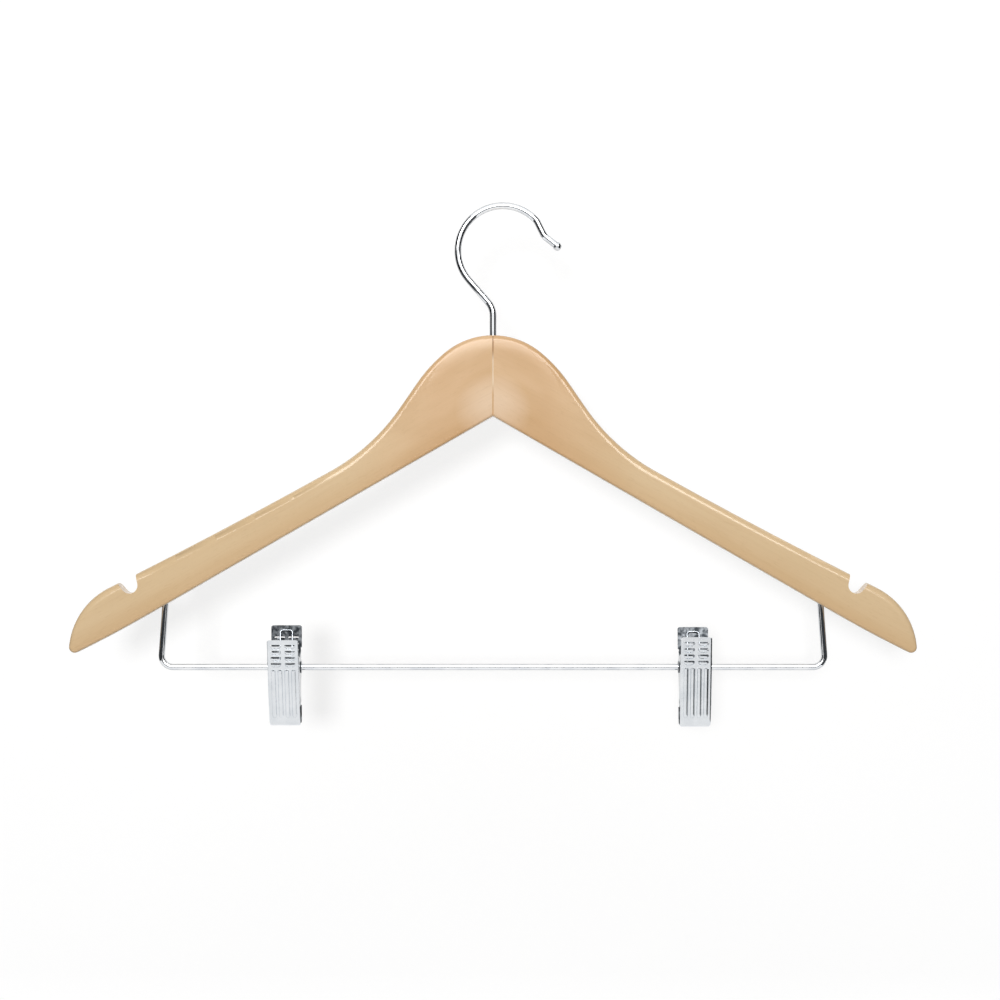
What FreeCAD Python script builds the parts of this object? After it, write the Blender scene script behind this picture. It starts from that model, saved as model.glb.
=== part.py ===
# Skirt hanger: two wooden arms, a swivel hook, a wire bar and two sprung clips that slide on the bar.
# Sizes are in millimetres and angles in degrees. X runs along the hanger, +Z is up, the front looks to -Y.
# The origin is on the hook's swivel axis, level with the top of the inside of the hook.

import FreeCAD, Part
import math
import os

from FreeCAD import Placement, Rotation, Vector

# Wooden arms
wood_width = 445.0
wood_thickness = 12.0
head_drop = 66.7            # inside of the hook down to the top of the head
head_height = 42.6          # top of the head down to the point of the underside
crown_radius = 39.6
crown_slope = 39.8          # slope where the crown eases into the flank
flank_radius = 79.3
flank_slope = 55.5          # steepest slope of the flank
flank_straight = 15.4
neck_radius = 109.0
shoulder_slope = 29.1       # slope where the neck eases into the long shoulder
shoulder_end_slope = 26.5   # slope where the shoulder meets the round end
end_radius = 37.1           # round end of the arm
tip_radius = 3.0            # lower corner of the tip
underside_slope = 29.9
underside_end_slope = 26.6  # slope of the last part of the underside
underside_knee = 25.5       # end of the arm back to the bend between the two slopes
underside_bend_radius = 600.0
crown_round = 2.8           # edge rounding along the crown and the flank
shoulder_round = 3.9        # edge rounding along the shoulder
tip_round = 1.6             # edge rounding where the round end reaches the tip
lower_round = 1.2           # edge rounding along the underside

# Head joint: a tongue of the right arm in a slot of the left arm
tongue_length = 16.0
tongue_thickness = 6.0
seam_width = 0.5            # groove on both faces where the arms meet
seam_depth = 0.2

# Strap notches
notch_offset = 192.3        # middle of the hanger to the middle of a mouth
notch_mouth = 10.6
notch_floor = 8.6           # diameter of the round floor
notch_depth = 8.1

# Swivel hook
hook_wire = 3.5
hook_radius = 23.7          # to the middle of the wire
hook_offset = 5.2           # swivel axis to the centre of the round part
hook_diagonal = 48.9        # slope of the straight below the round part
hook_bend_radius = 11.0
hook_round_end = 44.5       # the round part ends this far above the level of its centre
tail_bend_radius = 8.0
tail_slope = 63.4
tail_length = 6.5
flick_bend_radius = 5.0
flick_slope = 38.5
flick_length = 7.7
ball_diameter = 4.4
shank_depth = 12.0          # plain shank inside the head
screw_diameter = 4.2        # thick end below it, which keeps the hook in
screw_length = 20.0
hook_clearance = 0.05
screw_end_gap = 0.2

# Wire bar
bar_wire = 3.2
bar_drop = 241.3            # inside of the hook down to the axis of the bar
bar_span = 350.0            # between the legs, level with the bar
bar_corner_radius = 6.0
leg_splay = 4.1
leg_seat = 12.0             # length of a leg inside the wood
leg_clearance = 0.05
leg_end_gap = 0.2

# Clip jaws
sheet = 0.5
jaw_width = 16.7
jaw_side_clearance = 0.05   # between the ears of the front jaw and those of the rear jaw
jaw_offset = 8.5            # axis of the bar to the outer face of a plate
jaw_above = 17.9            # axis of the bar to the top of the front plate
rear_rise = 3.6             # how much taller the rear plate stands, for the thumb
jaw_below = 26.2            # axis of the bar to the start of the lip
plate_bend = 1.2            # outer radius of the bend between a plate and its ears
plate_corner = 1.6
lip_radius = 5.2
lip_turn = 75.0
lip_gap = 0.3
lip_corner_width = 1.2
lip_corner_height = 1.8
ear_above = 9.0
ear_below = 20.0
ear_radius = 4.6
ear_relief = 0.8            # cut-out in the plate's edge above and below an ear that is set in
louvre_rows = 4
louvre_columns = 2
louvre_width = 5.6
louvre_round = 1.9          # radius of the hood
louvre_height = 1.2         # how far the hood stands out of the plate
louvre_slit = 0.65          # height of the slit above the hood
louvre_row_pitch = 3.35
louvre_column_pitch = 7.3
louvre_start = 3.05         # top of the front plate to the rim of the first hood
rib_count = 4
rib_pitch = 3.5
rib_width = 2.5
rib_height = 0.9
rib_top = 1.25              # axis of the bar up to the open ends of the ribs
rib_length = 26.6
rib_end_bend = 1.6          # radius of the dive, to the middle of the rib's round
rib_end_turn = 75.0

# Hinge tubes, on which the jaws turn and which slide on the bar
tube_wall = 0.45
tube_clearance = 0.08
ear_clearance = 0.05
tube_end_play = 0.1
rim_diameter = 6.4
rim_thickness = 0.4

# Clip springs
spring_wire = 0.9
spring_clearance = 0.25     # between the turns and the hinge tube
spring_turns = 2            # whole turns on each side of the bail
spring_pitch = 1.6
spring_ease = 90.0          # part of a turn over which the winding starts to climb
spring_seat_gap = 0.3       # between the wire and the plate that it presses
spring_leg_height = 9.5
bail_width = 6.4
bail_height = 19.0
bail_corner_radius = 1.5
least_spring_gap = 0.4

# Rest places of the clips along the bar, and how far their tops lean to the front
clip_places = {"left": -109.6, "right": 106.3}
clip_swings = {"left": 8.1, "right": 1.1}

# Sizes that follow from those above
along_x = Vector(1, 0, 0)
along_y = Vector(0, 1, 0)
down = Vector(0, 0, -1)
half_thickness = wood_thickness / 2
point_drop = head_drop + head_height
rear_ear_width = jaw_width - 2 * sheet - 2 * jaw_side_clearance
tube_bore = bar_wire / 2 + tube_clearance
tube_radius = tube_bore + tube_wall
coil_radius = tube_radius + spring_clearance + spring_wire / 2


# Lines of straights and tangent arcs
def arc_step(radius, heading_from, heading_to):
    bend = math.copysign(radius, heading_to - heading_from)
    start = math.radians(heading_from)
    end = math.radians(heading_to)
    return Vector(math.sin(end) - math.sin(start), 0, math.cos(end) - math.cos(start)) * bend


class Path:
    # A path in the XZ plane. Its heading is the angle below +X.
    def __init__(self, start, heading):
        self.point = start
        self.heading = heading
        self.edges = []

    def straight(self, length):
        angle = math.radians(self.heading)
        end = self.point + Vector(math.cos(angle), 0, -math.sin(angle)) * length
        self.edges.append(Part.LineSegment(self.point, end).toShape())
        self.point = end

    def turn(self, radius, heading):
        middle = self.point + arc_step(radius, self.heading, (self.heading + heading) / 2)
        end = self.point + arc_step(radius, self.heading, heading)
        self.edges.append(Part.Arc(self.point, middle, end).toShape())
        self.point = end
        self.heading = heading


def bent_wire(edges, diameter):
    first = edges[0]
    start = first.valueAt(first.FirstParameter)
    direction = first.tangentAt(first.FirstParameter)
    section = Part.Wire(Part.makeCircle(diameter / 2, start, direction))
    return Part.Wire(edges).makePipeShell([section], True, False)


# Wooden arms
def arm_top():
    # Crown, flank and neck, from the middle of the head to the start of the shoulder.
    path = Path(Vector(0, 0, -head_drop), 0)
    path.turn(crown_radius, crown_slope)
    path.turn(flank_radius, flank_slope)
    path.straight(flank_straight)
    path.turn(neck_radius, shoulder_slope)
    return path


def shoulder_radius(start):
    # The shoulder is one long arc from the slope of the neck to the slope where the round end begins.
    end_slope = math.radians(shoulder_end_slope)
    end_x = wood_width / 2 - end_radius * (1 - math.sin(end_slope))
    return (end_x - start.x) / (math.sin(math.radians(shoulder_slope)) - math.sin(end_slope))


def shoulder_at(x):
    # The point of the shoulder's upper edge at this X, and the slope there.
    start = arm_top().point
    radius = shoulder_radius(start)
    first_slope = math.radians(shoulder_slope)
    slope = math.asin(math.sin(first_slope) - (x - start.x) / radius)
    drop = radius * (math.cos(slope) - math.cos(first_slope))
    return Vector(x, 0, start.z - drop), math.degrees(slope)


def arm_outline():
    shoulder_end = math.radians(shoulder_end_slope)
    underside = math.radians(underside_slope)
    underside_end = math.radians(underside_end_slope)
    path = arm_top()
    path.turn(shoulder_radius(path.point), shoulder_end_slope)
    centre = path.point - Vector(math.sin(shoulder_end), 0, math.cos(shoulder_end)) * end_radius
    # The corner of the tip touches the round end from inside, and the last part of the underside.
    knee_x = wood_width / 2 - underside_knee
    knee = Vector(knee_x, 0, -point_drop - knee_x * math.tan(underside))
    normal = Vector(math.sin(underside_end), 0, math.cos(underside_end))
    along = Vector(math.cos(underside_end), 0, -math.sin(underside_end))
    rise = tip_radius - (centre - knee).dot(normal)
    reach = math.sqrt((end_radius - tip_radius) ** 2 - rise ** 2)
    to_corner = normal * rise + along * reach
    path.turn(end_radius, math.degrees(math.atan2(to_corner.x, to_corner.z)))
    path.turn(tip_radius, 180 + underside_end_slope)
    bend_reach = underside_bend_radius * math.tan((underside - underside_end) / 2)
    path.straight((path.point - knee).Length - bend_reach)
    path.turn(underside_bend_radius, 180 + underside_slope)
    path.straight(path.point.x / math.cos(underside))
    return path.edges + [Part.LineSegment(path.point, Vector(0, 0, -head_drop)).toShape()]


def edge_middle(edge):
    return edge.valueAt((edge.FirstParameter + edge.LastParameter) / 2)


def round_edges(blank, outline, roundings):
    # Rounds the front and back edges of the blank, with a start and an end radius for each outline edge.
    chosen = []
    for number, edge in enumerate(blank.Edges, 1):
        place = edge_middle(edge)
        for drawn, (first, last) in zip(outline, roundings):
            offset = place - edge_middle(drawn)
            if math.hypot(offset.x, offset.z) < 1e-6 and abs(offset.y) > half_thickness / 2:
                chosen.append((number, first, last))
    document = FreeCAD.newDocument("rounding")
    base = document.addObject("Part::Feature", "blank")
    base.Shape = blank
    fillet = document.addObject("Part::Fillet", "rounded")
    fillet.Base = base
    fillet.Edges = chosen
    document.recompute()
    rounded = fillet.Shape.copy()
    FreeCAD.closeDocument(document.Name)
    return rounded


def strap_notch():
    # A round floor with straight sides that flare to the mouth, drawn upright and leaned on the shoulder.
    radius = notch_floor / 2
    floor_centre = Vector(0, 0, radius - notch_depth)
    mouth = Vector(notch_mouth / 2, 0, 0)
    to_mouth = mouth - floor_centre
    touch_angle = math.atan2(to_mouth.z, to_mouth.x) - math.acos(radius / to_mouth.Length)
    touch = floor_centre + Vector(math.cos(touch_angle), 0, math.sin(touch_angle)) * radius
    outer = mouth + (mouth - touch)
    left_touch = Vector(-touch.x, 0, touch.z)
    left_outer = Vector(-outer.x, 0, outer.z)
    edges = [
        Part.LineSegment(outer, touch).toShape(),
        Part.Arc(touch, Vector(0, 0, -notch_depth), left_touch).toShape(),
        Part.LineSegment(left_touch, left_outer).toShape(),
        Part.LineSegment(left_outer, outer).toShape(),
    ]
    cutter = Part.Face(Part.Wire(edges)).extrude(along_y * (2 * wood_thickness))
    cutter.translate(along_y * -wood_thickness)
    mouth_middle, slope = shoulder_at(notch_offset)
    cutter.Placement = Placement(mouth_middle, Rotation(along_y, slope)) * cutter.Placement
    return cutter


def leg_point(distance):
    # A point of the right leg's axis, by its distance from the corner where the leg would meet the bar.
    splay = math.radians(leg_splay)
    return Vector(bar_span / 2 - distance * math.sin(splay), 0, -bar_drop + distance * math.cos(splay))


def leg_to_wood():
    splay = math.radians(leg_splay)
    fall = math.tan(math.radians(underside_slope))
    clear_height = bar_drop - point_drop - bar_span / 2 * fall
    return clear_height / (math.cos(splay) - math.sin(splay) * fall)


def leg_hole():
    start = leg_point(leg_to_wood() - 2 * bar_wire)
    end = leg_point(leg_to_wood() + leg_seat + leg_end_gap)
    return Part.makeCylinder(bar_wire / 2 + leg_clearance, (end - start).Length, start, end - start)


def hook_bore():
    radius = hook_wire / 2 + hook_clearance
    top = Vector(0, 0, -head_drop + hook_wire)
    bore = Part.makeCylinder(radius, hook_wire + shank_depth, top, down)
    pocket_top = Vector(0, 0, -head_drop - shank_depth)
    pocket_radius = screw_diameter / 2 + hook_clearance
    pocket = Part.makeCylinder(pocket_radius, screw_length + 2 * screw_end_gap, pocket_top, down)
    return bore.fuse(pocket)


def seam_grooves():
    # Shallow grooves down both faces of the head. Each is drawn twice as wide and deep, half of it outside.
    grooves = []
    for side in (-1, 1):
        outer_y = side * (half_thickness + seam_depth)
        corners = [
            Vector(-seam_width, outer_y, 0),
            Vector(0, side * (half_thickness - seam_depth), 0),
            Vector(seam_width, outer_y, 0),
        ]
        face = Part.Face(Part.makePolygon(corners + corners[:1]))
        grooves.append(face.extrude(down * (2 * point_drop)))
    return grooves


def wooden_arms():
    outline = arm_outline()
    face = Part.Face(Part.Wire(outline))
    face.translate(along_y * -half_thickness)
    blank = face.extrude(along_y * wood_thickness)
    head_roundings = [(crown_round, crown_round)] * 3 + [(crown_round, shoulder_round)]
    shoulder_roundings = [(shoulder_round, shoulder_round), (shoulder_round, tip_round)]
    lower_roundings = [(tip_round, lower_round)] + [(lower_round, lower_round)] * 3
    right_half = round_edges(blank, outline, head_roundings + shoulder_roundings + lower_roundings)
    right_half = right_half.cut([strap_notch(), leg_hole()])
    left_half = right_half.mirror(Vector(0, 0, 0), along_x)
    slot_height = 2 * (head_height + tongue_length)
    slot_corner = Vector(-tongue_length, -tongue_thickness / 2, -point_drop - slot_height / 2)
    slot = Part.makeBox(tongue_length, tongue_thickness, slot_height, slot_corner)
    cuts = [hook_bore()] + seam_grooves()
    right_arm = right_half.fuse(left_half.common(slot)).cut(cuts).removeSplitter()
    left_arm = left_half.cut([slot] + cuts)
    return left_arm, right_arm


# Swivel hook
def swivel_hook():
    slope = math.radians(hook_diagonal)
    centre = Vector(hook_offset, 0, hook_wire / 2 - hook_radius)
    round_start = centre + Vector(-math.sin(slope), 0, -math.cos(slope)) * hook_radius
    diagonal = -round_start.x / math.cos(slope)
    corner = round_start.z - diagonal * math.sin(slope)
    bend_reach = hook_bend_radius * math.tan(math.radians(90 - hook_diagonal) / 2)
    screw_top = -head_drop - shank_depth - screw_end_gap
    path = Path(Vector(0, 0, screw_top - screw_length / 2), -90)
    path.straight(corner - bend_reach - path.point.z)
    path.turn(hook_bend_radius, hook_diagonal - 180)
    path.straight(diagonal - bend_reach)
    path.turn(hook_radius, 90 - hook_round_end)
    path.turn(tail_bend_radius, tail_slope)
    path.straight(tail_length)
    path.turn(flick_bend_radius, flick_slope)
    path.straight(flick_length)
    ball = Part.makeSphere(ball_diameter / 2, path.point)
    screw = Part.makeCylinder(screw_diameter / 2, screw_length, Vector(0, 0, screw_top), down)
    return bent_wire(path.edges, hook_wire).fuse([ball, screw])


# Wire bar
def trouser_bar():
    leg_end = leg_point(leg_to_wood() + leg_seat)
    corner_turn = 90 + leg_splay
    corner_reach = bar_corner_radius * math.tan(math.radians(corner_turn) / 2)
    leg_straight = leg_to_wood() + leg_seat - corner_reach
    path = Path(Vector(-leg_end.x, 0, leg_end.z), corner_turn)
    path.straight(leg_straight)
    path.turn(bar_corner_radius, 0)
    path.straight(bar_span - 2 * corner_reach)
    path.turn(bar_corner_radius, -corner_turn)
    path.straight(leg_straight)
    return bent_wire(path.edges, bar_wire)


# Clip jaws, drawn upright about the bar with the plate in front of it
def side_outline():
    # The plate's edge together with the ear round the hinge tube, seen from the side.
    upper = Vector(0, -jaw_offset, ear_above)
    lower = Vector(0, -jaw_offset, -ear_below)
    touches = []
    for root, side in ((upper, -1), (lower, 1)):
        angle = math.atan2(root.z, root.y) + side * math.acos(ear_radius / root.Length)
        touches.append(Vector(0, math.cos(angle), math.sin(angle)) * ear_radius)
    nose = (touches[0] + touches[1]).normalize() * ear_radius
    edges = [
        Part.LineSegment(upper, touches[0]).toShape(),
        Part.Arc(touches[0], nose, touches[1]).toShape(),
        Part.LineSegment(touches[1], lower).toShape(),
        Part.LineSegment(lower, upper).toShape(),
    ]
    return Part.Face(Part.Wire(edges))


def front_outline(top):
    # The plate seen from the front: round upper corners and cut lower ones.
    half = jaw_width / 2
    bottom = -jaw_below - lip_radius
    lip_end = -jaw_below - lip_radius * math.sin(math.radians(lip_turn))
    shoulder = top - plate_corner
    inset = plate_corner * (1 - math.sqrt(0.5))
    corners = []
    for side in (-1, 1):
        start = Vector(side * half, 0, shoulder)
        middle = Vector(side * (half - inset), 0, top - inset)
        corners.append((start, middle, Vector(side * (half - plate_corner), 0, top)))
    points = []
    for side in (1, -1):
        cut = [
            Vector(side * half, 0, lip_end + lip_corner_height),
            Vector(side * (half - lip_corner_width), 0, lip_end),
            Vector(side * (half - lip_corner_width), 0, bottom),
        ]
        points += cut if side == 1 else cut[::-1]
    points = [corners[1][0]] + points + [corners[0][0]]
    edges = [Part.LineSegment(a, b).toShape() for a, b in zip(points, points[1:])]
    edges.append(Part.Arc(*corners[0]).toShape())
    edges.append(Part.LineSegment(corners[0][2], corners[1][2]).toShape())
    edges.append(Part.Arc(*corners[1][::-1]).toShape())
    return Part.Face(Part.Wire(edges))


def bent_channel(width, top):
    # Plate and ears before trimming: a sheet bent to a channel along Z.
    height = top + jaw_below
    depth = jaw_offset + ear_radius
    outer = Part.makeBox(width, depth, height, Vector(-width / 2, -jaw_offset, -jaw_below))
    inner_corner = Vector(sheet - width / 2, sheet - jaw_offset, -jaw_below)
    inner = Part.makeBox(width - 2 * sheet, depth, height, inner_corner)
    walls = []
    inner_bend = plate_bend - sheet
    for block, front, radius in ((outer, -jaw_offset, plate_bend), (inner, sheet - jaw_offset, inner_bend)):
        bends = []
        for edge in block.Edges:
            place = edge_middle(edge)
            on_side = abs(abs(place.x) - block.BoundBox.XMax) < 1e-6
            if on_side and abs(place.y - front) < 1e-6 and abs(edge.Length - height) < 1e-6:
                bends.append(edge)
        walls.append(block.makeFillet(radius, bends))
    return walls[0].cut(walls[1])


def louvre(x, rim, shrink, lift):
    # The hood below a slit: a bar with round ends, sunk in the plate and cut off level at its rim.
    radius = louvre_round - shrink
    sunk = louvre_round - louvre_height
    half = louvre_width / 2 - math.sqrt(louvre_round ** 2 - sunk ** 2)
    slant = radius * math.sqrt(0.5)
    centre = Vector(x, sunk - jaw_offset, rim)
    left = [Vector(-half - radius, 0, 0), Vector(-half - slant, 0, -slant), Vector(-half, 0, -radius)]
    right = [Vector(half, 0, -radius), Vector(half + slant, 0, -slant), Vector(half + radius, 0, 0)]
    edges = [
        Part.Arc(*left).toShape(),
        Part.LineSegment(left[2], right[0]).toShape(),
        Part.Arc(*right).toShape(),
        Part.LineSegment(right[2], left[0]).toShape(),
    ]
    bar = Part.Face(Part.Wire(edges)).revolve(Vector(0, 0, 0), along_x, 360)
    bar.translate(centre)
    kept_corner = centre + Vector(-louvre_width, -2 * louvre_round, -2 * louvre_round)
    kept = Part.makeBox(2 * louvre_width, 4 * louvre_round, 2 * louvre_round + lift, kept_corner)
    return bar.common(kept)


def slit(x, rim):
    # The opening above a hood, with a level top and round ends.
    half = louvre_width / 2
    flat = half - louvre_slit
    slant = louvre_slit * math.sqrt(0.5)
    right = [Vector(half, 0, 0), Vector(flat + slant, 0, slant), Vector(flat, 0, louvre_slit)]
    left = [Vector(-point.x, 0, point.z) for point in reversed(right)]
    edges = [
        Part.Arc(*right).toShape(),
        Part.LineSegment(right[2], left[0]).toShape(),
        Part.Arc(*left).toShape(),
        Part.LineSegment(left[2], right[0]).toShape(),
    ]
    opening = Part.Face(Part.Wire(edges)).extrude(along_y * jaw_offset)
    opening.translate(Vector(x, -1.5 * jaw_offset, rim))
    return opening


def rib(x, shrink):
    # A half-round rib with an open upper end. At its lower end it dives through the plate.
    radius = (rib_width ** 2 / 4 + rib_height ** 2) / (2 * rib_height)
    axis_y = radius - rib_height - jaw_offset
    sunk_angle = math.acos((radius - rib_height + rib_end_bend) / (radius + rib_end_bend))
    dive_z = (radius + rib_end_bend) * math.sin(sunk_angle) + rib_top - rib_length
    bend_centre = Vector(x, axis_y + rib_end_bend, dive_z)
    dive = []
    for angle in (0, rib_end_turn / 2, rib_end_turn):
        turned = math.radians(angle)
        dive.append(bend_centre - Vector(0, math.cos(turned), math.sin(turned)) * rib_end_bend)
    run = Part.LineSegment(Vector(x, axis_y, rib_top), dive[0]).toShape()
    return bent_wire([run, Part.Arc(*dive).toShape()], 2 * (radius - shrink))


def stamped_features():
    front_corner = Vector(-jaw_width / 2, sheet / 2 - 2 * jaw_offset, -jaw_below)
    front_space = Part.makeBox(jaw_width, jaw_offset, jaw_above + jaw_below, front_corner)
    raised = []
    hollows = []
    for column in range(louvre_columns):
        x = (column - (louvre_columns - 1) / 2) * louvre_column_pitch
        for row in range(louvre_rows):
            rim = jaw_above - louvre_start - row * louvre_row_pitch
            raised.append(louvre(x, rim, 0, 0).common(front_space))
            hollows.append(louvre(x, rim, sheet, louvre_slit / 2))
            hollows.append(slit(x, rim))
    for number in range(rib_count):
        x = (number - (rib_count - 1) / 2) * rib_pitch
        raised.append(rib(x, 0).common(front_space))
        hollows.append(rib(x, sheet))
    return raised, hollows


def jaw(ear_width, top):
    # The plate is cut in beside its ears, where these are set in from its edges.
    slab_corner = Vector(-jaw_width, -jaw_offset, -jaw_below)
    slab = Part.makeBox(2 * jaw_width, sheet, top + jaw_below, slab_corner)
    band_corner = Vector(-jaw_width, -2 * jaw_offset, -ear_below - ear_relief)
    band_height = ear_above + ear_below + 2 * ear_relief
    band = Part.makeBox(2 * jaw_width, 2 * jaw_offset, band_height, band_corner)
    channel = bent_channel(ear_width, top)
    plate = bent_channel(jaw_width, top).common(slab).cut(band)
    plate = plate.fuse(channel.common(slab).common(band))
    ear_block = side_outline().extrude(along_x * (2 * jaw_width))
    ear_block.translate(along_x * -jaw_width)
    ears = channel.common(ear_block)
    foot = min(plate.Faces, key=lambda face: face.CenterOfMass.z)
    lip_axis = Vector(0, lip_radius - jaw_offset, -jaw_below)
    lip = foot.revolve(lip_axis, along_x, lip_turn)
    trim = front_outline(top).extrude(along_y * (4 * jaw_offset))
    trim.translate(along_y * (-2 * jaw_offset))
    raised, hollows = stamped_features()
    blank = plate.fuse([ears, lip]).common(trim)
    hole_start = Vector(-jaw_width, 0, 0)
    hole = Part.makeCylinder(tube_radius + ear_clearance, 2 * jaw_width, hole_start, along_x)
    return blank.fuse(raised).cut(hollows + [hole]).removeSplitter()


def jaw_lean():
    # The lean of each closed plate: it brings the inner corners of the two lips to the lip gap.
    turn = math.radians(lip_turn)
    inner_radius = lip_radius - sheet
    back = jaw_offset - lip_radius + inner_radius * math.cos(turn)
    drop = jaw_below + inner_radius * math.sin(turn)
    return math.degrees(math.atan2(back, drop) - math.asin(lip_gap / 2 / math.hypot(back, drop)))


# Hinge tubes
def hinge_tube():
    body_length = jaw_width + 2 * tube_end_play
    length = body_length + 2 * rim_thickness
    start = Vector(-length / 2, 0, 0)
    body = Part.makeCylinder(tube_radius, length, start, along_x)
    left_rim = Part.makeCylinder(rim_diameter / 2, rim_thickness, start, along_x)
    right_rim = Part.makeCylinder(rim_diameter / 2, rim_thickness, Vector(body_length / 2, 0, 0), along_x)
    bore = Part.makeCylinder(tube_bore, length, start, along_x)
    return body.fuse([left_rim, right_rim]).cut(bore)


# Clip springs: a bail on the rear plate, a winding on each side of it and two legs on the front plate
def spring_climb(angle, sweep):
    # How far the winding has moved along the tube, and its rate per degree, with a level start and end.
    rate = spring_pitch / 360
    if angle < spring_ease:
        return rate * angle ** 2 / (2 * spring_ease), rate * angle / spring_ease
    left = sweep - angle
    if left < spring_ease:
        whole = rate * (sweep - spring_ease)
        return whole - rate * left ** 2 / (2 * spring_ease), rate * left / spring_ease
    return rate * (angle - spring_ease / 2), rate


def arc_between(start, control, end):
    chord_middle = (start + end) * 0.5
    half = (end - start).Length / 2
    height = (control - chord_middle).Length
    bulge = half * math.tan(math.atan2(height, half) / 2)
    return [start, chord_middle + (control - chord_middle) * (bulge / height), end]


def biarc(start, start_direction, end, end_direction):
    # Two arcs that leave and arrive in the given directions.
    chord = end - start
    both = start_direction + end_direction
    spread = 2 * (1 - start_direction.dot(end_direction))
    reach = (math.sqrt(chord.dot(both) ** 2 + spread * chord.dot(chord)) - chord.dot(both)) / spread
    first = start + start_direction * reach
    second = end - end_direction * reach
    joint = (first + second) * 0.5
    return [arc_between(start, first, joint), arc_between(joint, second, end)]


def spring_runs():
    lean = math.radians(jaw_lean())
    seat = jaw_offset - sheet - spring_seat_gap - spring_wire / 2
    bail = Rotation(along_x, -math.degrees(lean)).multVec(Vector(0, seat, bail_height))
    leg = Rotation(along_x, math.degrees(lean)).multVec(Vector(0, -seat, spring_leg_height))
    bail_angle = math.degrees(math.atan2(bail.z, bail.y) - math.acos(coil_radius / bail.Length))
    leg_angle = math.degrees(math.atan2(leg.z, leg.y) + math.acos(coil_radius / leg.Length))
    sweep = bail_angle - leg_angle + 360 * (spring_turns + 1)
    inner_x = bail_width / 2

    def winding(angle):
        climb, rate = spring_climb(angle, sweep)
        turned = math.radians(bail_angle - angle)
        point = Vector(inner_x + climb, coil_radius * math.cos(turned), coil_radius * math.sin(turned))
        step = math.radians(1) * coil_radius
        direction = Vector(rate, step * math.sin(turned), -step * math.cos(turned))
        return point, direction.normalize()

    coil_start, start_direction = winding(0)
    coil_end, end_direction = winding(sweep)
    corner = Vector(inner_x, bail.y, bail.z)
    bail_end = corner + start_direction * bail_corner_radius
    bail_side = corner - along_x * bail_corner_radius
    runs = [arc_between(bail_side, corner, bail_end), [bail_end, coil_start]]
    quarters = math.ceil(sweep / 90)
    for number in range(quarters):
        point, direction = winding(sweep * number / quarters)
        next_point, next_direction = winding(sweep * (number + 1) / quarters)
        runs += biarc(point, direction, next_point, next_direction)
    runs.append([coil_end, Vector(coil_end.x, leg.y, leg.z)])
    mirrored = [[Vector(-point.x, point.y, point.z) for point in reversed(run)] for run in reversed(runs)]
    return mirrored + [[mirrored[-1][-1], runs[0][0]]] + runs


def run_edge(run):
    if len(run) == 2:
        return Part.LineSegment(*run).toShape()
    return Part.Arc(*run).toShape()


def self_gap(wire, diameter):
    # Least clear distance between stretches of the wire that are at least half a turn apart along it.
    step = diameter / 3
    points = wire.discretize(Distance=step)
    apart = math.ceil(math.pi * coil_radius / step)
    distances = []
    for number, point in enumerate(points):
        distances += [(point - other).Length for other in points[number + apart:]]
    return min(distances) - diameter


def clip_spring():
    edges = [run_edge(run) for run in spring_runs()]
    gap = self_gap(Part.Wire(edges), spring_wire)
    spring = bent_wire(edges, spring_wire)
    drawn = sum(edge.Length for edge in edges) * math.pi * spring_wire ** 2 / 4
    print("spring: least gap to itself %.3f mm, wanted over %.1f mm" % (gap, least_spring_gap))
    print("spring: volume %.2f, section times length %.2f" % (spring.Volume, drawn))
    return spring


def clip_pieces():
    lean = jaw_lean()
    origin = Vector(0, 0, 0)
    front = jaw(jaw_width, jaw_above)
    front.rotate(origin, along_x, lean)
    rear = jaw(rear_ear_width, jaw_above + rear_rise).mirror(origin, along_y)
    rear.rotate(origin, along_x, -lean)
    return {"front_jaw": front, "rear_jaw": rear, "spring": clip_spring(), "hinge_tube": hinge_tube()}


def build():
    left_arm, right_arm = wooden_arms()
    pieces = {"left_arm": left_arm, "right_arm": right_arm}
    pieces["hook"] = swivel_hook()
    pieces["trouser_bar"] = trouser_bar()
    clip = clip_pieces()
    for side, place in clip_places.items():
        for name, shape in clip.items():
            piece = shape.copy()
            piece.rotate(Vector(0, 0, 0), along_x, clip_swings[side])
            piece.translate(Vector(place, 0, -bar_drop))
            pieces["%s_clip_%s" % (side, name)] = piece
    return pieces


os.makedirs("parts", exist_ok=True)
for node, shape in build().items():
    print(node, "solids", len(shape.Solids), "valid", shape.isValid(), "volume %.1f" % shape.Volume)
    shape.exportStep("parts/%s.step" % node)
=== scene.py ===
import bpy
import math
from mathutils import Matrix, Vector


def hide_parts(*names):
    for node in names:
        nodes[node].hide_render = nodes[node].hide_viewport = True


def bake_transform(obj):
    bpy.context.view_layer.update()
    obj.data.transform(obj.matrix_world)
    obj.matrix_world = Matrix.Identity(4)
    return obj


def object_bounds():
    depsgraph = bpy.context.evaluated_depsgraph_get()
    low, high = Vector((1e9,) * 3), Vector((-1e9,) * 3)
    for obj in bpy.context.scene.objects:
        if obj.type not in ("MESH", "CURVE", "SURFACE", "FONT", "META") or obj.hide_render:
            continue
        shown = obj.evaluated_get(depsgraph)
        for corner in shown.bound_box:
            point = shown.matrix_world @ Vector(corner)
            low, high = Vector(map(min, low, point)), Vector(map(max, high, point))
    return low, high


# Skirt hanger, dressed: lacquered wood, chromed wire, nickel-plated clips, a white studio corner.
# Lengths are in metres, the front looks to -Y.

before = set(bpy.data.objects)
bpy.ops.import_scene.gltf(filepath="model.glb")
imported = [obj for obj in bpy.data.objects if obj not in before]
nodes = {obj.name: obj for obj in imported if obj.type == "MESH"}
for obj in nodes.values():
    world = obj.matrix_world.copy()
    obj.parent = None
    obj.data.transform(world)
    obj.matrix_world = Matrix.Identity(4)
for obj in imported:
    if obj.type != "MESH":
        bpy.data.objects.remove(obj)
cadLow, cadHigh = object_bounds()
mm = 0.001

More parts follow.
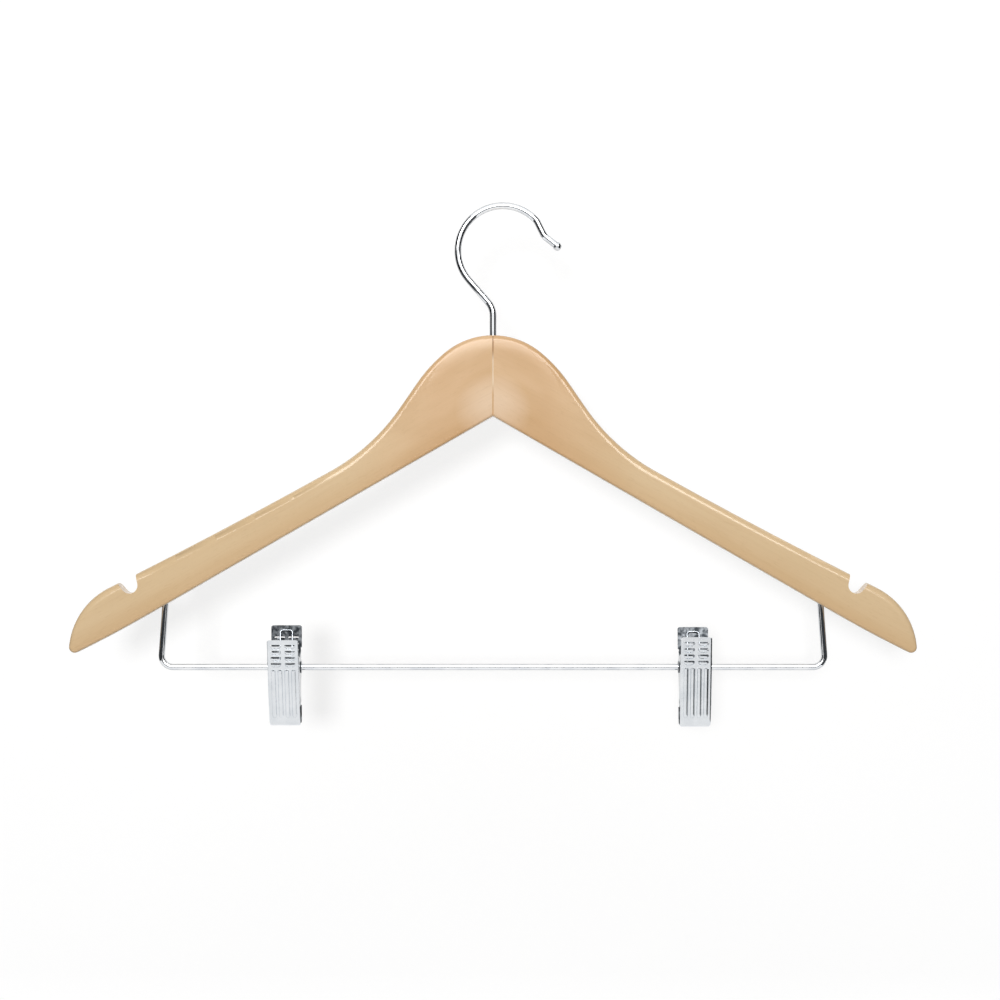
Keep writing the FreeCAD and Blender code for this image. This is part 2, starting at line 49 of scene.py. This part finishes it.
bpy.context.scene.view_settings.view_transform = "Standard"


# Small helpers
def linearColour(hexColour):
    parts = [int(hexColour[i:i + 2], 16) / 255 for i in (0, 2, 4)]
    linear = [p / 12.92 if p <= 0.04045 else ((p + 0.055) / 1.055) ** 2.4 for p in parts]
    return (*linear, 1.0)


def addNode(tree, kind, links=(), **settings):
    # settings: plain node properties, socket values as a dictionary called inputs, a ramp's stops
    node = tree.nodes.new(kind)
    for key, value in settings.pop("inputs", {}).items():
        node.inputs[key].default_value = value
    for index, (place, hexColour) in enumerate(settings.pop("stops", ())):
        elements = node.color_ramp.elements
        element = elements[index] if index < len(elements) else elements.new(place)
        element.position = place
        element.color = linearColour(hexColour)
    for key, value in settings.items():
        setattr(node, key, value)
    for socket, source in links:
        tree.links.new(source, node.inputs[socket])
    return node


def newMaterial(name):
    material = bpy.data.materials.new(name)
    material.use_nodes = True
    material.node_tree.nodes.clear()
    return material, material.node_tree


# Camera, at the photograph's viewing angle
cameraSet = {
    "distance": 1.05,
    "acrossX": 3.7 * mm,
    "height": -153.3 * mm,
    "lens": 71.73,
    "sensor": 36.0,
    "clipStart": 0.01,
}


def makeCamera():
    data = bpy.data.cameras.new("photoCamera")
    data.lens = cameraSet["lens"]
    data.sensor_width = cameraSet["sensor"]
    data.clip_start = cameraSet["clipStart"]
    camera = bpy.data.objects.new("photoCamera", data)
    camera.location = (cameraSet["acrossX"], -cameraSet["distance"], cameraSet["height"])
    camera.rotation_euler = (math.radians(90), 0, 0)
    bpy.context.scene.collection.objects.link(camera)
    bpy.context.scene.camera = camera


makeCamera()
print("camera: %.2f m in front of the hanger" % cameraSet["distance"])


# Studio: a white corner, one-sided so that the hanger shows from behind and from below too
studioSet = {
    "wallGap": 0.16,            # hanger's middle plane to the wall
    "floorHeight": -0.5,
    "halfWidth": 1.6,
    "wallTop": 1.2,
    "floorReach": 1.6,
    "cornerRadius": 0.06,
    "cornerSteps": 8,
    "shadowShare": 0.36,        # how much of the white can fall into shadow
    "glow": 0.7,                # and how much of it stays
    "bounce": "9C9C9C",         # the paper is grey to the light it throws back: edges keep their depth
    "ambient": 0.335,
}


def seesBackground(tree):
    path = addNode(tree, "ShaderNodeLightPath")
    either = addNode(tree, "ShaderNodeMath", [(0, path.outputs["Is Camera Ray"]),
                                              (1, path.outputs["Is Glossy Ray"])], operation="MAXIMUM")
    return addNode(tree, "ShaderNodeMath", [(0, either.outputs[0]),
                                            (1, path.outputs["Is Transmission Ray"])], operation="MAXIMUM")


def studioPaper():
    # Matt white background paper: even white to the eye, with the object's soft shadow on it.
    material, tree = newMaterial("mattWhitePaper")
    seen = seesBackground(tree)
    share = studioSet["shadowShare"]
    paper = addNode(tree, "ShaderNodeBsdfDiffuse", inputs={"Color": linearColour(studioSet["bounce"])})
    shaded = addNode(tree, "ShaderNodeBsdfDiffuse", inputs={"Color": (share, share, share, 1)})
    glow = addNode(tree, "ShaderNodeEmission", inputs={"Strength": studioSet["glow"]})
    white = addNode(tree, "ShaderNodeAddShader", [(0, shaded.outputs[0]), (1, glow.outputs[0])])
    front = addNode(tree, "ShaderNodeMixShader",
                    [(0, seen.outputs[0]), (1, paper.outputs[0]), (2, white.outputs[0])])
    side = addNode(tree, "ShaderNodeNewGeometry")
    clear = addNode(tree, "ShaderNodeBsdfTransparent")
    oneSided = addNode(tree, "ShaderNodeMixShader",
                       [(0, side.outputs["Backfacing"]), (1, front.outputs[0]), (2, clear.outputs[0])])
    addNode(tree, "ShaderNodeOutputMaterial", [("Surface", oneSided.outputs[0])])
    return material


def makeBackdrop():
    wallY = studioSet["wallGap"]
    floorZ = studioSet["floorHeight"]
    radius = studioSet["cornerRadius"]
    wide = studioSet["halfWidth"]
    steps = studioSet["cornerSteps"]
    profile = [(wallY, studioSet["wallTop"]), (wallY, floorZ + radius)]
    for step in range(1, steps):
        turn = math.radians(90 * step / steps)
        profile.append((wallY - radius * (1 - math.cos(turn)), floorZ + radius * (1 - math.sin(turn))))
    profile += [(wallY - radius, floorZ), (-studioSet["floorReach"], floorZ)]
    corners = [(side * wide, y, z) for y, z in profile for side in (-1, 1)]
    faces = [(2 * i, 2 * i + 2, 2 * i + 3, 2 * i + 1) for i in range(len(profile) - 1)]
    mesh = bpy.data.meshes.new("studioCorner")
    mesh.from_pydata(corners, [], faces)
    for face in mesh.polygons:
        face.use_smooth = True
    mesh.materials.append(studioPaper())
    backdrop = bpy.data.objects.new("studioCorner", mesh)
    bpy.context.scene.collection.objects.link(backdrop)


def makeWorld():
    world = bpy.data.worlds.new("whiteRoom")
    world.use_nodes = True
    tree = world.node_tree
    tree.nodes.clear()
    seen = seesBackground(tree)
    level = addNode(tree, "ShaderNodeMapRange", [("Value", seen.outputs[0])],
                    inputs={"To Min": studioSet["ambient"], "To Max": 1.0})
    white = addNode(tree, "ShaderNodeBackground", [("Strength", level.outputs[0])],
                    inputs={"Color": (1, 1, 1, 1)})
    addNode(tree, "ShaderNodeOutputWorld", [("Surface", white.outputs[0])])
    bpy.context.scene.world = world


# Dark flags that only reflections see, as they are set round bright chrome in a studio
flagSet = {
    "sideX": 0.4,               # left and right flags, standing beside the hanger
    "sideFront": -0.5,
    "sideBack": 0.155,
    "sideTop": 0.5,
    "sideBottom": -0.33,
    "lowY": -1.7,               # flag below the camera
    "lowHalf": 1.2,
    "lowTop": -0.12,
    "lowBottom": -0.49,
    "floorNear": -0.8,          # cloth on the floor in front
    "floorFar": -1.5,
    "floorZ": -0.498,
    "cornerX": 0.45,            # cloth on the floor to the right, which draws the ribs of the clips
    "cornerFar": -0.9,
    "cornerNear": 0.1,
    "cloth": "121212",
    "greyCloth": "505356",      # the lower part, which the legs of the bar reflect
    "greyFrom": -0.17,
    "greyTo": -0.22,
}


def flagCloth():
    # Black felt, matt, with a greyer lower part.
    material, tree = newMaterial("blackFlagCloth")
    place = addNode(tree, "ShaderNodeTexCoord")
    height = addNode(tree, "ShaderNodeSeparateXYZ", [(0, place.outputs["Object"])])
    lower = addNode(tree, "ShaderNodeMapRange", [("Value", height.outputs["Z"])],
                    inputs={"From Min": flagSet["greyFrom"], "From Max": flagSet["greyTo"]})
    shade = addNode(tree, "ShaderNodeValToRGB", [("Fac", lower.outputs[0])],
                    stops=((0, flagSet["cloth"]), (1, flagSet["greyCloth"])))
    cloth = addNode(tree, "ShaderNodeBsdfDiffuse", [("Color", shade.outputs["Color"])])
    addNode(tree, "ShaderNodeOutputMaterial", [("Surface", cloth.outputs[0])])
    return material


def uprightSheet(start, end, bottom, top):
    return [(*start, bottom), (*end, bottom), (*end, top), (*start, top)]


def floorSheet(left, right, near, far):
    level = flagSet["floorZ"]
    return [(left, near, level), (left, far, level), (right, far, level), (right, near, level)]


def makeFlags():
    material = flagCloth()
    sheets = {}
    for name, side in (("leftFlag", -1), ("rightFlag", 1)):
        front, back = [(side * flagSet["sideX"], flagSet[y]) for y in ("sideFront", "sideBack")]
        sheets[name] = uprightSheet(front, back, flagSet["sideBottom"], flagSet["sideTop"])
    half = flagSet["lowHalf"]
    left, right = [(side * half, flagSet["lowY"]) for side in (-1, 1)]
    sheets["lowFlag"] = uprightSheet(left, right, flagSet["lowBottom"], flagSet["lowTop"])
    sheets["floorFlag"] = floorSheet(-half, half, flagSet["floorNear"], flagSet["floorFar"])
    sheets["cornerFlag"] = floorSheet(flagSet["cornerX"], half, flagSet["cornerNear"], flagSet["cornerFar"])
    for name, corners in sheets.items():
        mesh = bpy.data.meshes.new(name)
        mesh.from_pydata(corners, [], [(0, 1, 2, 3)])
        mesh.materials.append(material)
        flag = bpy.data.objects.new(name, mesh)
        bpy.context.scene.collection.objects.link(flag)
        for ray in ("visible_camera", "visible_diffuse", "visible_transmission", "visible_shadow"):
            setattr(flag, ray, False)
    return len(sheets)


# Lamps: a soft key that throws the shadow, a soft top light, a fill for the back, and a strip that
# only gloss sees
lampSet = {
    "softbox": {
        "direction": (-0.072, -1.0, 0.045),   # throws the shadow to the lower right
        "distance": 2.6,
        "shape": "DISK",
        "size": (0.26, 0.26),
        "power": 32.0,
        "spread": 180,
        "unseenBy": ("visible_camera", "visible_glossy"),
    },
    "overhead": {
        "direction": (0.0, -0.45, 1.0),       # lifts the rounded upper edges
        "distance": 1.5,
        "shape": "RECTANGLE",
        "size": (1.2, 0.8),
        "power": 9.0,
        "spread": 180,
        "unseenBy": ("visible_camera", "visible_glossy"),
    },
    "backFill": {
        "direction": (0.0, 1.0, 0.0),         # lights the back alone, from just before the wall
        "distance": 0.13,
        "shape": "RECTANGLE",
        "size": (0.7, 0.5),
        "power": 0.5,
        "spread": 50,
        "unseenBy": ("visible_camera", "visible_glossy"),
    },
    "edgeStrip": {
        "direction": (0.0, -1.0, 0.49),       # draws the bright line along the rounded shoulders
        "distance": 1.7,
        "shape": "RECTANGLE",
        "size": (1.9, 0.85),
        "power": 35.0,
        "spread": 180,
        "unseenBy": ("visible_camera", "visible_diffuse", "visible_transmission"),
    },
}


def makeLamp(name):
    given = lampSet[name]
    data = bpy.data.lights.new(name, "AREA")
    data.shape = given["shape"]
    data.size, data.size_y = given["size"]
    data.energy = given["power"]
    data.spread = math.radians(given["spread"])
    lamp = bpy.data.objects.new(name, data)
    toLamp = Vector(given["direction"]).normalized()
    middle = (cadLow + cadHigh) / 2
    lamp.location = middle + toLamp * given["distance"]
    lamp.rotation_mode = "QUATERNION"
    lamp.rotation_quaternion = (-toLamp).to_track_quat("-Z", "Y")
    for ray in given["unseenBy"]:
        setattr(lamp, ray, False)
    bpy.context.scene.collection.objects.link(lamp)


makeBackdrop()
makeWorld()
flagCount = makeFlags()
for lampName in lampSet:
    makeLamp(lampName)
print("studio: white corner,", flagCount, "flags,", len(lampSet), "lamps")


# Materials
woodSet = {
    "grainTilt": 28.8,                          # degrees, each arm's own slope
    "grainShift": {"left": 0.31, "right": 0.74},  # moves the grain, so that the two boards differ
    # Grain: width of a streak, stretch along the arm, detail
    "figure": (18 * mm, 2.5, 2),
    "bands": (6 * mm, 16, 3),
    "fibres": (0.9 * mm, 34, 2),                # real fibres are near 0.1 mm, drawn coarser to show
    "flecks": (0.8 * mm, 5, 1),
    "ground": ((0.3, "D0A675"), (0.7, "DEB88C")),  # from the warm streaks to the pale ones
    # Tints over the ground: colour, where each starts, where it is full, its greatest share
    "paintedHeadSheen": ("F1D5B6", 0.42, 0.14, 0.9),    # painted sheen: paler and rosier in the middle of the head
    "armTint": ("E5CBA2", 30 * mm, 75 * mm, 0.75),  # the boards look less red outside the head
    "lowTint": ("CA9C66", -97 * mm, -110 * mm, 0.4),  # yellower along the lower edge
    "bandTint": ("C79D6C", 0.45, 0.8, 0.16),
    "fibreTint": ("B08A5E", 0.5, 0.85, 0.09),
    "fleckTint": ("B08A5E", 0.6, 0.8, 0.12),
    "lowRise": 0.575,                           # slope of the lower edge
    "crownCentre": (0, 0, -106.3 * mm),
    "crownReach": 50 * mm,
    # Groove between the arms: bare wood, darker low down and near the crown; its pale middle stretch is a
    # painted highlight
    "seamAndHighlight": ((0.2, "D6AE7E"), (0.32, "F4E0C4"), (0.54, "F4E0C4"), (0.64, "A87C52")),
    "seamHalf": 0.25 * mm,
    "seamShare": 0.8,
    # A slight fall of the face towards the crown, a guess, in the shading alone
    "domeFrom": 30 * mm,
    "domeTo": 37.4 * mm,
    "domeDrop": 0.3 * mm,
    "domeCurve": 2,
    "domeLow": -102 * mm,
    "domeHigh": -86 * mm,
    "reliefDepth": 0.03 * mm,
    "reliefStrength": 0.25,
    "roughness": (0.38, 0.55),
    "bareGloss": 0.1,
    "coat": 0.9,
    "coatRoughness": 0.18,
    "lacquerIor": 1.5,
}


def lacqueredMaple(name, tilt, shift):
    # Maple, planed, sanded and sprayed with clear satin lacquer: pale and even, with quiet streaks
    # along the arm and a soft sheen that breaks on the rounded edges.
    material, tree = newMaterial(name)
    place = addNode(tree, "ShaderNodeTexCoord")

    def grain(streaks):
        width, stretch, detail = woodSet[streaks]
        turned = addNode(tree, "ShaderNodeMapping", [("Vector", place.outputs["Object"])],
                         vector_type="TEXTURE",
                         inputs={"Location": (shift, 0, 0), "Rotation": (0, math.radians(tilt), 0),
                                 "Scale": (stretch, 1, 1)})
        noise = addNode(tree, "ShaderNodeTexNoise", [("Vector", turned.outputs[0])],
                        inputs={"Scale": 1 / width, "Detail": detail})
        return noise.outputs["Fac"]

    def tinted(base, amount, tint):
        colour, start, full, most = woodSet[tint]
        share = addNode(tree, "ShaderNodeMapRange", [("Value", amount)],
                        inputs={"From Min": start, "From Max": full, "To Max": most})
        mixed = addNode(tree, "ShaderNodeMix", [(0, share.outputs[0]), (6, base)], data_type="RGBA",
                        inputs={7: linearColour(colour)})
        return mixed.outputs[2]

    fibres = grain("fibres")
    fromCrown = addNode(tree, "ShaderNodeVectorMath", [(0, place.outputs["Object"])], operation="DISTANCE",
                        inputs={1: woodSet["crownCentre"]})
    reach = addNode(tree, "ShaderNodeMapRange", [("Value", fromCrown.outputs["Value"])],
                    inputs={"From Max": woodSet["crownReach"]})
    across = addNode(tree, "ShaderNodeSeparateXYZ", [(0, place.outputs["Object"])])
    outward = addNode(tree, "ShaderNodeMath", [(0, across.outputs["X"])], operation="ABSOLUTE")
    height = addNode(tree, "ShaderNodeMath", [(0, outward.outputs[0]), (2, across.outputs["Z"])],
                     operation="MULTIPLY_ADD", inputs={1: woodSet["lowRise"]})
    ground = addNode(tree, "ShaderNodeValToRGB", [("Fac", grain("figure"))], stops=woodSet["ground"])
    colour = ground.outputs["Color"]
    # the head's tint is a painted sheen
    for amount, tint in ((reach.outputs[0], "paintedHeadSheen"), (outward.outputs[0], "armTint"),
                         (height.outputs[0], "lowTint"), (grain("bands"), "bandTint"),
                         (fibres, "fibreTint"), (grain("flecks"), "fleckTint")):
        colour = tinted(colour, amount, tint)
    groove = addNode(tree, "ShaderNodeMapRange", [("Value", outward.outputs[0])],
                     inputs={"From Min": 2 * woodSet["seamHalf"], "From Max": woodSet["seamHalf"],
                             "To Max": woodSet["seamShare"]})
    # the pale middle of the groove's colour is a painted highlight
    seamAndHighlight = addNode(tree, "ShaderNodeValToRGB", [("Fac", reach.outputs[0])], stops=woodSet["seamAndHighlight"])
    joined = addNode(tree, "ShaderNodeMix", [(0, groove.outputs[0]), (6, colour),
                                             (7, seamAndHighlight.outputs["Color"])], data_type="RGBA")
    gloss = addNode(tree, "ShaderNodeMapRange", [("Value", fibres)],
                    inputs={"To Min": woodSet["roughness"][0], "To Max": woodSet["roughness"][1]})
    edge = addNode(tree, "ShaderNodeMapRange", [("Value", fromCrown.outputs["Value"])],
                   inputs={"From Min": woodSet["domeFrom"], "From Max": woodSet["domeTo"]})
    upper = addNode(tree, "ShaderNodeMapRange", [("Value", across.outputs["Z"])],
                    inputs={"From Min": woodSet["domeLow"], "From Max": woodSet["domeHigh"]})
    fall = addNode(tree, "ShaderNodeMath", [(0, edge.outputs[0])], operation="POWER",
                   inputs={1: woodSet["domeCurve"]})
    drop = addNode(tree, "ShaderNodeMath", [(0, fall.outputs[0]), (1, upper.outputs[0])],
                   operation="MULTIPLY")
    dome = addNode(tree, "ShaderNodeBump", [("Height", drop.outputs[0])], invert=True,
                   inputs={"Strength": 1, "Distance": woodSet["domeDrop"]})
    relief = addNode(tree, "ShaderNodeBump", [("Height", fibres), ("Normal", dome.outputs[0])],
                     inputs={"Strength": woodSet["reliefStrength"], "Distance": woodSet["reliefDepth"]})
    skin = addNode(tree, "ShaderNodeBsdfPrincipled",
                   [("Base Color", joined.outputs[2]), ("Roughness", gloss.outputs[0]),
                    ("Normal", relief.outputs[0]), ("Coat Normal", dome.outputs[0])],
                   inputs={"IOR": woodSet["lacquerIor"], "Specular IOR Level": woodSet["bareGloss"],
                           "Coat Weight": woodSet["coat"], "Coat Roughness": woodSet["coatRoughness"],
                           "Coat IOR": woodSet["lacquerIor"]})
    addNode(tree, "ShaderNodeOutputMaterial", [("Surface", skin.outputs[0])])
    return material


chromeSet = {
    "plate": ((0.35, "E3E6EA"), (0.6, "F3F5F7")),
    "rim": "2E3134",            # chrome darkens where it turns away from the eye
    "hazeSize": 7 * mm,
    "polishSize": 0.6 * mm,     # polishing marks are finer, drawn as coarse as the render can show
    "polishRange": (0.3, 0.75),
    "roughness": (0.02, 0.07),
}


def brightChrome():
    # Drawn steel wire, polished and chromed: a mirror, white and black by what stands round it,
    # with a faint haze where hands and rails have touched it.
    material, tree = newMaterial("brightChrome")
    place = addNode(tree, "ShaderNodeTexCoord")
    haze = addNode(tree, "ShaderNodeTexNoise", [("Vector", place.outputs["Object"])],
                   inputs={"Scale": 1 / chromeSet["hazeSize"], "Detail": 3})
    polish = addNode(tree, "ShaderNodeTexNoise", [("Vector", place.outputs["Object"])],
                     inputs={"Scale": 1 / chromeSet["polishSize"], "Detail": 2})
    colour = addNode(tree, "ShaderNodeValToRGB", [("Fac", haze.outputs["Fac"])], stops=chromeSet["plate"])
    low, high = chromeSet["polishRange"]
    smooth, dull = chromeSet["roughness"]
    gloss = addNode(tree, "ShaderNodeMapRange", [("Value", polish.outputs["Fac"])],
                    inputs={"From Min": low, "From Max": high, "To Min": smooth, "To Max": dull})
    skin = addNode(tree, "ShaderNodeBsdfPrincipled",
                   [("Base Color", colour.outputs["Color"]), ("Roughness", gloss.outputs[0])],
                   inputs={"Metallic": 1.0, "Specular Tint": linearColour(chromeSet["rim"])})
    addNode(tree, "ShaderNodeOutputMaterial", [("Surface", skin.outputs[0])])
    return material


nickelSet = {
    "plate": ((0.35, "DEE2E6"), (0.65, "E9ECEF")),
    "frontShadeAndStains": ((0.42, "1C1E20"), (0.68, "5A5E62")),   # inside the jaws: painted shade, blotched like stains
    "rearStains": ((0.42, "34383C"), (0.68, "8E9296")),
    # painted shade: faces that look sideways, the ears most, drawn greyer
    "ear": "9EA2A6",
    "stainSize": 2.6 * mm,
    "cloudSize": 9 * mm,
    "scratchWidth": 0.25 * mm,  # drawn wider than real rolling marks, which do not show at this size
    "scratchStretch": 30,
    "scratchRange": (0.3, 0.7),
    "roughness": (0.14, 0.2),
    "insideRoughness": 0.3,     # added inside the jaws
    "insideFacing": (0.2, 0.6),
    "earFacing": (0.965, 0.99),
    "peelSize": 1.1 * mm,
    "peelDepth": 0.012 * mm,
    "peelStrength": 0.35,
}


def nickelSheet(name, inward, shadeAndStainStops):
    # Thin steel, stamped and nickel plated: a pale cool grey with a satin gloss, faint rolling marks
    # up and down the plate and the slight waviness of pressed sheet. The faces that look sideways, the ears
    # most, are painted greyer as shade, and the inside of a jaw is painted dark as shade, blotched like
    # stains: inward is the way along Y that it looks.
    material, tree = newMaterial(name)
    place = addNode(tree, "ShaderNodeTexCoord")
    clouds = addNode(tree, "ShaderNodeTexNoise", [("Vector", place.outputs["Object"])],
                     inputs={"Scale": 1 / nickelSet["cloudSize"], "Detail": 3})
    stretched = addNode(tree, "ShaderNodeMapping", [("Vector", place.outputs["Object"])],
                        vector_type="TEXTURE", inputs={"Scale": (1, 1, nickelSet["scratchStretch"])})
    marks = addNode(tree, "ShaderNodeTexNoise", [("Vector", stretched.outputs[0])],
                    inputs={"Scale": 1 / nickelSet["scratchWidth"], "Detail": 2})
    peel = addNode(tree, "ShaderNodeTexNoise", [("Vector", place.outputs["Object"])],
                   inputs={"Scale": 1 / nickelSet["peelSize"], "Detail": 2})
    blots = addNode(tree, "ShaderNodeTexNoise", [("Vector", place.outputs["Object"])],
                    inputs={"Scale": 1 / nickelSet["stainSize"], "Detail": 3})
    plate = addNode(tree, "ShaderNodeValToRGB", [("Fac", clouds.outputs["Fac"])], stops=nickelSet["plate"])
    # painted shade inside the jaws, blotched like stains
    shadeAndStains = addNode(tree, "ShaderNodeValToRGB", [("Fac", blots.outputs["Fac"])], stops=shadeAndStainStops)
    low, high = nickelSet["scratchRange"]
    smooth, dull = nickelSet["roughness"]
    sheen = addNode(tree, "ShaderNodeMapRange", [("Value", marks.outputs["Fac"])],
                    inputs={"From Min": low, "From Max": high, "To Min": smooth, "To Max": dull})
    facing = addNode(tree, "ShaderNodeSeparateXYZ", [(0, place.outputs["Normal"])])
    start, full = nickelSet["insideFacing"]
    inside = addNode(tree, "ShaderNodeMapRange", [("Value", facing.outputs["Y"])],
                     inputs={"From Min": start * inward, "From Max": full * inward})
    # faces that look sideways are painted greyer, as shade
    sideways = addNode(tree, "ShaderNodeMath", [(0, facing.outputs["X"])], operation="ABSOLUTE")
    start, full = nickelSet["earFacing"]
    ears = addNode(tree, "ShaderNodeMapRange", [("Value", sideways.outputs[0])],
                   inputs={"From Min": start, "From Max": full})
    outer = addNode(tree, "ShaderNodeMix", [(0, ears.outputs[0]), (6, plate.outputs["Color"])],
                    data_type="RGBA", inputs={7: linearColour(nickelSet["ear"])})
    colour = addNode(tree, "ShaderNodeMix", [(0, inside.outputs[0]), (6, outer.outputs[2]),
                                             (7, shadeAndStains.outputs["Color"])], data_type="RGBA")
    gloss = addNode(tree, "ShaderNodeMath", [(0, inside.outputs[0]), (2, sheen.outputs[0])],
                    operation="MULTIPLY_ADD", inputs={1: nickelSet["insideRoughness"]})
    wave = addNode(tree, "ShaderNodeBump", [("Height", peel.outputs["Fac"])],
                   inputs={"Strength": nickelSet["peelStrength"], "Distance": nickelSet["peelDepth"]})
    skin = addNode(tree, "ShaderNodeBsdfPrincipled",
                   [("Base Color", colour.outputs[2]), ("Roughness", gloss.outputs[0]),
                    ("Normal", wave.outputs[0])], inputs={"Metallic": 1.0})
    addNode(tree, "ShaderNodeOutputMaterial", [("Surface", skin.outputs[0])])
    return material


springSet = {
    "plate": ((0.35, "8D9298"), (0.65, "B9BEC4")),
    "streakSize": 2.5 * mm,
    "roughness": (0.16, 0.34),
    "weldDistance": 0.002 * mm,
    "smoothAngle": 40,
}


def springWire():
    # Hard drawn spring wire with a thin bright plating: darker and streakier than the plates.
    material, tree = newMaterial("platedSpringWire")
    place = addNode(tree, "ShaderNodeTexCoord")
    streaks = addNode(tree, "ShaderNodeTexNoise", [("Vector", place.outputs["Object"])],
                      inputs={"Scale": 1 / springSet["streakSize"], "Detail": 4})
    colour = addNode(tree, "ShaderNodeValToRGB", [("Fac", streaks.outputs["Fac"])], stops=springSet["plate"])
    smooth, dull = springSet["roughness"]
    gloss = addNode(tree, "ShaderNodeMapRange", [("Value", streaks.outputs["Fac"])],
                    inputs={"To Min": smooth, "To Max": dull})
    skin = addNode(tree, "ShaderNodeBsdfPrincipled",
                   [("Base Color", colour.outputs["Color"]), ("Roughness", gloss.outputs[0])],
                   inputs={"Metallic": 1.0})
    addNode(tree, "ShaderNodeOutputMaterial", [("Surface", skin.outputs[0])])
    return material


def dress(nodeName, material):
    for slot in nodes[nodeName].material_slots:
        slot.material = material


chrome = brightChrome()
frontNickel = nickelSheet("nickelPlatedFrontJaw", 1, nickelSet["frontShadeAndStains"])
rearNickel = nickelSheet("nickelPlatedRearJaw", -1, nickelSet["rearStains"])
springPlate = springWire()
for side, slope in (("left", -1), ("right", 1)):
    maple = lacqueredMaple("lacqueredMaple%s" % side.capitalize(), slope * woodSet["grainTilt"],
                           woodSet["grainShift"][side])
    dress("%s_arm" % side, maple)
for wire in ("hook", "trouser_bar"):
    dress(wire, chrome)
for side in ("left", "right"):
    for piece, nickel in (("front_jaw", frontNickel), ("rear_jaw", rearNickel), ("hinge_tube", rearNickel)):
        dress("%s_clip_%s" % (side, piece), nickel)
print("materials: wood for each arm, chrome, nickel sheet, spring wire")


# Springs, which wind up as a clip opens: each is copied, welded, smoothed and dressed in spring wire, and
# its node hidden
def windingSpring(side):
    node = nodes["%s_clip_spring" % side]
    spring = bpy.data.objects.new("%sWindingSpring" % side, node.data.copy())
    bpy.context.scene.collection.objects.link(spring)
    bpy.ops.object.select_all(action="DESELECT")
    spring.select_set(True)
    bpy.context.view_layer.objects.active = spring
    bpy.ops.object.mode_set(mode="EDIT")
    bpy.ops.mesh.select_all(action="SELECT")
    bpy.ops.mesh.remove_doubles(threshold=springSet["weldDistance"])
    bpy.ops.object.mode_set(mode="OBJECT")
    bpy.ops.object.shade_smooth_by_angle(angle=math.radians(springSet["smoothAngle"]))
    spring.data.materials.clear()
    spring.data.materials.append(springPlate)
    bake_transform(spring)
    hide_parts("%s_clip_spring" % side)


for side in ("left", "right"):
    windingSpring(side)
